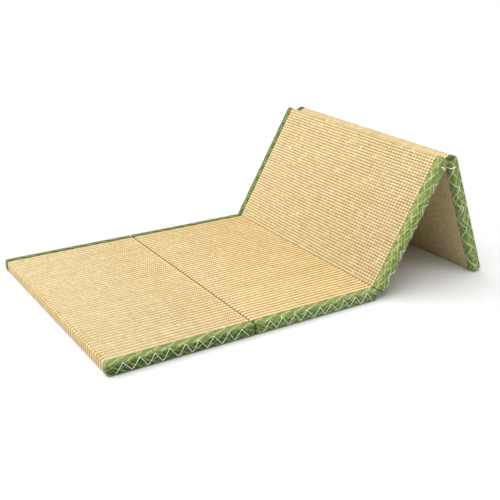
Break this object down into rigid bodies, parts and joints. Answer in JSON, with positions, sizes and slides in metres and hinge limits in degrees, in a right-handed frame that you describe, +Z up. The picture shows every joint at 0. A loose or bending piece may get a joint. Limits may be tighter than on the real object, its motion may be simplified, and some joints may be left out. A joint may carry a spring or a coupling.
{
  "type": "folding tatami mat",
  "caption": "Rush-covered folding floor mat with cloth-bound edges, part laid flat and part propped up as a tent-shaped backrest.",
  "frame": {"origin": "on the surface it stands on, under the middle of the standing mat's length and width", "axes": "+X along the mat, from the flat end towards the tent-shaped end; +Y across the mat; +Z up"},
  "size_m": [1.509, 0.9066, 0.4711],
  "materials": {
    "rush": "woven rush matting, warm straw, low sheen, cross ribs",
    "binding": "matt green woven binding cloth with a lighter diamond lattice",
    "thread": "matt white sewing thread"
  },
  "bodies": {
    "root": {"panel_1_rush": "rush", "panel_2_rush": "rush", "panel_3_rush": "rush", "panel_4_rush": "rush", "panel_1_binding_near": "binding", "panel_1_binding_far": "binding", "panel_2_binding_near": "binding", "panel_2_binding_far": "binding", "panel_3_binding_near": "binding", "panel_3_binding_far": "binding", "panel_4_binding_near": "binding", "panel_4_binding_far": "binding", "ridge_tie_near": "thread", "ridge_tie_far": "thread"}
  },
  "joints": []
}
